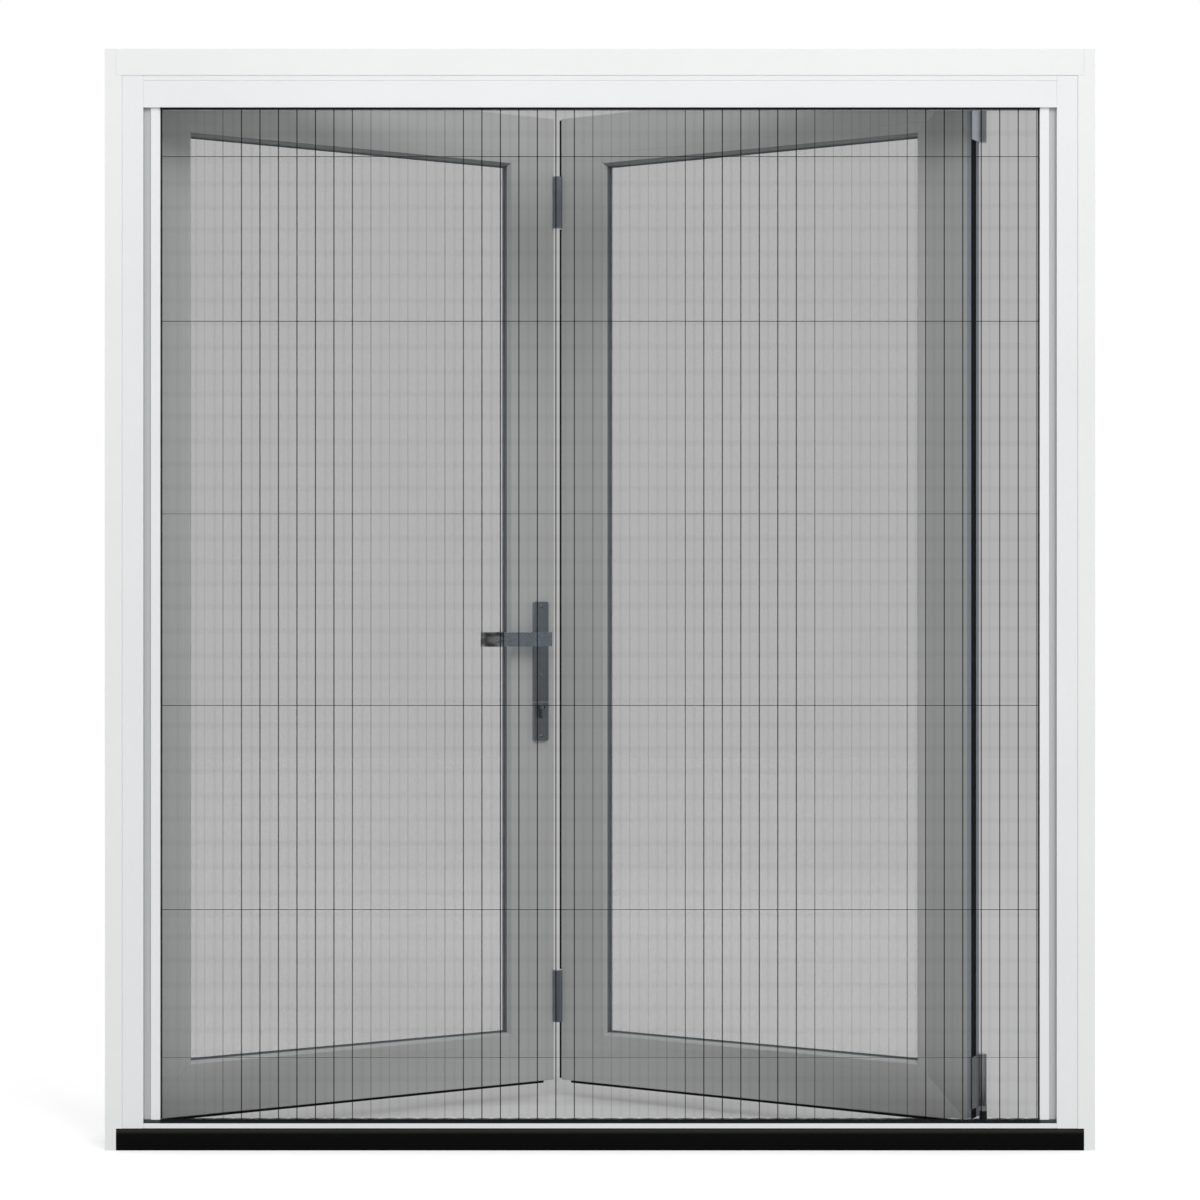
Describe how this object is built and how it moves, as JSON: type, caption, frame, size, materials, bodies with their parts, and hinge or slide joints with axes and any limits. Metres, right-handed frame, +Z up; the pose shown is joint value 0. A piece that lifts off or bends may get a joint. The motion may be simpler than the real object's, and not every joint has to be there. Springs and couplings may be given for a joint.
{
  "type": "folding door",
  "caption": "Bottom-rolling folding glass door in its frame, leaves part folded, with lever handle, shoot bolts and a pleated insect screen on the room side.",
  "frame": {"origin": "middle of the sill's underside, halfway through the frame's depth", "axes": "+X to the right seen from the room, +Y out of doors, +Z up"},
  "size_m": [1.994, 0.6568, 2.187],
  "materials": {
    "frame_white": "satin white powder coat",
    "screen_white": "satin white powder coat",
    "leaf_white": "satin white powder coat",
    "sill_black": "matt black powder coat",
    "track_metal": "mill",
    "seal_rubber": "matt",
    "gasket_rubber": "matt grey",
    "brush_pile": "pile",
    "glider_plastic": "moulded",
    "mesh_yarn": "coated yarn mesh",
    "clear_glass": "clear",
    "spacer_metal": "satin",
    "hinge_steel": "satin",
    "handle_steel": "satin",
    "bolt_steel": "plain"
  },
  "bodies": {
    "frame": {"left_jamb": "frame_white", "right_jamb": "frame_white", "head": "frame_white", "sill": "sill_black", "sill_track": "track_metal", "head_guide": "track_metal", "frame_seals": "seal_rubber", "bolt_keeps": "bolt_steel", "frame_hinge_leaves": "frame_white", "frame_hinge_pins": "bolt_steel", "screen_left_profile": "screen_white", "screen_right_profile": "screen_white", "screen_cassette": "screen_white", "screen_floor_track": "screen_white", "screen_brushes": "brush_pile", "screen_fixed_bar": "screen_white", "screen_fixed_feet": "glider_plastic", "screen_mesh": "mesh_yarn", "screen_cords": "mesh_yarn"},
    "jamb_leaf": {"jamb_leaf_hinge_stile": "leaf_white", "jamb_leaf_fold_stile": "leaf_white", "jamb_leaf_top_rail": "leaf_white", "jamb_leaf_bottom_rail": "leaf_white", "jamb_leaf_beads": "leaf_white", "jamb_leaf_glass": "clear_glass", "jamb_leaf_spacer": "spacer_metal", "jamb_leaf_gaskets": "gasket_rubber", "jamb_leaf_seals": "seal_rubber", "jamb_leaf_hinge_leaves": "frame_white", "fold_hinge_jamb_side": "hinge_steel", "fold_hinge_pins": "bolt_steel", "inside_backplate": "handle_steel", "outside_backplate": "handle_steel", "handle_screws": "bolt_steel", "lock_case": "bolt_steel", "lock_cylinder": "handle_steel"},
    "lead_leaf": {"lead_leaf_fold_stile": "leaf_white", "lead_leaf_closing_stile": "leaf_white", "lead_leaf_top_rail": "leaf_white", "lead_leaf_bottom_rail": "leaf_white", "lead_leaf_beads": "leaf_white", "lead_leaf_glass": "clear_glass", "lead_leaf_spacer": "spacer_metal", "lead_leaf_gaskets": "gasket_rubber", "lead_leaf_seals": "seal_rubber", "fold_hinge_lead_side": "hinge_steel", "carriage_hinge_leaves": "hinge_steel"},
    "carriage": {"carriage_block": "glider_plastic", "carriage_axles": "bolt_steel", "guide_pin": "bolt_steel"},
    "front_wheel": {"front_wheel": "bolt_steel"},
    "rear_wheel": {"rear_wheel": "bolt_steel"},
    "guide_roller": {"guide_roller": "glider_plastic"},
    "lever": {"inside_lever": "handle_steel", "outside_lever": "handle_steel", "handle_spindle": "bolt_steel"},
    "top_bolt": {"top_shoot_bolt": "bolt_steel"},
    "bottom_bolt": {"bottom_shoot_bolt": "bolt_steel"},
    "pull_bar": {"screen_pull_bar": "screen_white", "screen_pull_feet": "glider_plastic"}
  },
  "joints": [
    {"name": "leaf_swing", "type": "hinge", "parent": "frame", "child": "jamb_leaf", "pos_m": [-0.971, 0.0705, 0], "axis": [0, 0, 1], "range_deg": [-30, 30]},
    {"name": "leaf_fold", "type": "hinge", "parent": "jamb_leaf", "child": "lead_leaf", "pos_m": [-0.0936, 0.4818, 0], "axis": [0, 0, 1], "range_deg": [-60, 60]},
    {"name": "carriage_swivel", "type": "hinge", "parent": "lead_leaf", "child": "carriage", "pos_m": [0.7838, 0.0705, 0], "axis": [0, 0, 1], "range_deg": [-30, 30]},
    {"name": "front_wheel_spin", "type": "hinge", "parent": "carriage", "child": "front_wheel", "pos_m": [0.7638, 0.0705, 0.0223], "axis": [0, 1, 0], "continuous": true},
    {"name": "rear_wheel_spin", "type": "hinge", "parent": "carriage", "child": "rear_wheel", "pos_m": [0.7278, 0.0705, 0.0223], "axis": [0, 1, 0], "continuous": true},
    {"name": "guide_roller_spin", "type": "hinge", "parent": "carriage", "child": "guide_roller", "pos_m": [0.7838, 0.0705, 2.165], "axis": [0, 0, 1], "continuous": true},
    {"name": "lever_turn", "type": "hinge", "parent": "jamb_leaf", "child": "lever", "pos_m": [-0.13266, 0.46445, 1.0095], "axis": [0.5, -0.866, 0], "range_deg": [0, 60]},
    {"name": "top_bolt_slide", "type": "slide", "parent": "jamb_leaf", "child": "top_bolt", "axis": [0, 0, 1], "range_m": [0, 0.02]},
    {"name": "bottom_bolt_slide", "type": "slide", "parent": "jamb_leaf", "child": "bottom_bolt", "axis": [0, 0, -1], "range_m": [0, 0.02]},
    {"name": "screen_slide", "type": "slide", "parent": "frame", "child": "pull_bar", "axis": [-1, 0, 0], "range_m": [0, 1.6], "deforming": ["screen_mesh", "screen_cords"]}
  ],
  "couplings": [
    {"joint": "leaf_fold", "follows": "leaf_swing", "ratio": -2},
    {"joint": "carriage_swivel", "follows": "leaf_swing", "ratio": 1},
    {"joint": "top_bolt_slide", "follows": "lever_turn", "m_per_rad": 0.019099},
    {"joint": "bottom_bolt_slide", "follows": "lever_turn", "m_per_rad": 0.019099}
  ]
}
